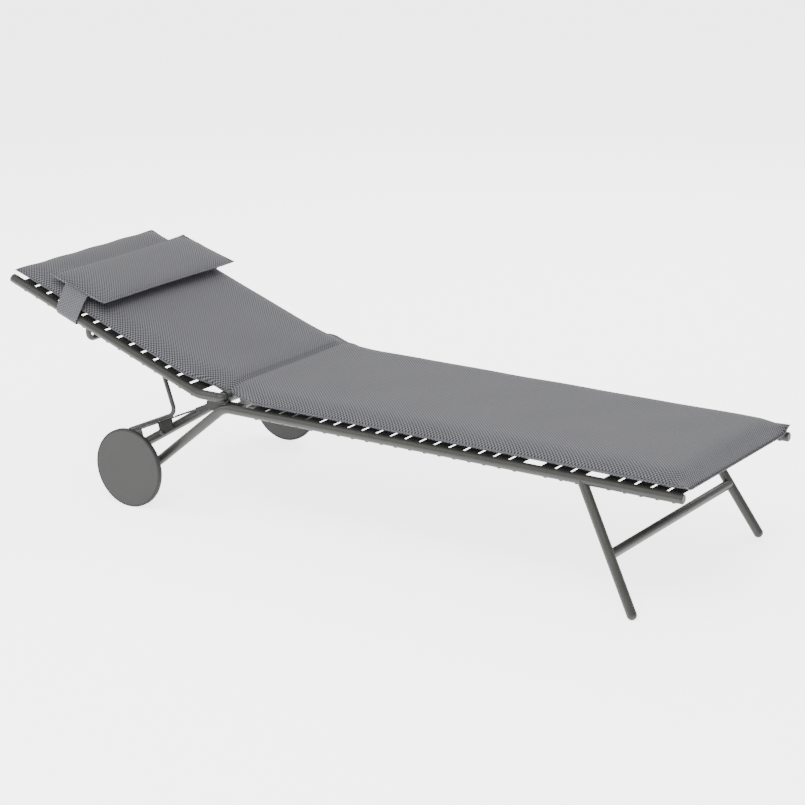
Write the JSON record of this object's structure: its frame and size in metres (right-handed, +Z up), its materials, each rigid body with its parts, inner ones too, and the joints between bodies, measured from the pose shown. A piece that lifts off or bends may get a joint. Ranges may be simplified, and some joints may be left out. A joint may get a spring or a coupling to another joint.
{
  "type": "reclining sun lounger",
  "caption": "Tube-framed sun lounger on two front legs and two rear wheels, with elastic straps, a folded mesh pad, a head pillow and a ratchet-propped reclining back.",
  "frame": {"origin": "on the floor under the middle of the lounger as shown, with its back raised", "axes": "+X to the foot end, +Y to the lying person's left, +Z up"},
  "size_m": [2.0455, 0.716, 0.6015],
  "materials": {
    "frame": "satin powder coat, grey taupe",
    "plug": "moulded, matched to the frame",
    "block": "moulded black",
    "bush": "moulded",
    "steel": "stainless",
    "strap": "woven elastic",
    "clip": "moulded black",
    "wheel": "moulded, fine matte",
    "tyre": "dull",
    "mesh_fabric": "two-tone woven mesh"
  },
  "bodies": {
    "base": {"axle_boss_left": "frame", "axle_boss_right": "frame", "axle_clips": "steel", "axle_pin_left": "steel", "axle_pin_right": "steel", "axle_washers": "bush", "base_cross_tube": "frame", "foot_plug_left": "plug", "foot_plug_right": "plug", "front_crossbar": "frame", "front_leg_left": "frame", "front_leg_right": "frame", "hinge_block_left": "block", "hinge_block_right": "block", "hinge_screws": "steel", "rack_bolts": "steel", "rack_left": "frame", "rack_right": "frame", "rack_stop_left": "block", "rack_stop_right": "block", "rear_arm_left": "frame", "rear_arm_right": "frame", "rear_tie_left": "frame", "rear_tie_right": "frame", "seat_pad": "mesh_fabric", "seat_rail_plugs": "plug", "seat_strap_clips": "clip", "seat_straps": "strap", "side_frame_left": "frame", "side_frame_right": "frame"},
    "back": {"back_brace": "frame", "back_pad": "mesh_fabric", "back_pivot_left": "frame", "back_pivot_right": "frame", "back_rail_left": "frame", "back_rail_plugs": "plug", "back_rail_right": "frame", "back_strap_clips": "clip", "back_straps": "strap", "head_pillow": "mesh_fabric", "pillow_tabs": "mesh_fabric", "prop_bush_left": "bush", "prop_bush_right": "bush"},
    "prop": {"prop_rod_right": "frame", "prop_rod_left": "frame"},
    "wheel_right": {"wheel_disc_right": "wheel", "tyre_right": "tyre", "hub_bush_right": "bush"},
    "wheel_left": {"wheel_disc_left": "wheel", "tyre_left": "tyre", "hub_bush_left": "bush"}
  },
  "joints": [
    {"name": "back_recline", "type": "hinge", "parent": "base", "child": "back", "pos_m": [-0.31369, 0, 0.3255], "axis": [0, 1, 0], "range_deg": [-19.8, 25]},
    {"name": "prop_pivot", "type": "hinge", "parent": "back", "child": "prop", "pos_m": [-0.53735, 0, 0.37902], "axis": [0, 1, 0], "range_deg": [-50, 39.6]},
    {"name": "wheel_right_spin", "type": "hinge", "parent": "base", "child": "wheel_right", "pos_m": [-0.57669, -0.3515, 0.107], "axis": [0, 1, 0], "continuous": true},
    {"name": "wheel_left_spin", "type": "hinge", "parent": "base", "child": "wheel_left", "pos_m": [-0.57669, 0.3515, 0.107], "axis": [0, 1, 0], "continuous": true}
  ],
  "couplings": [
    {"joint": "prop_pivot", "follows": "back_recline", "ratio": -2}
  ]
}
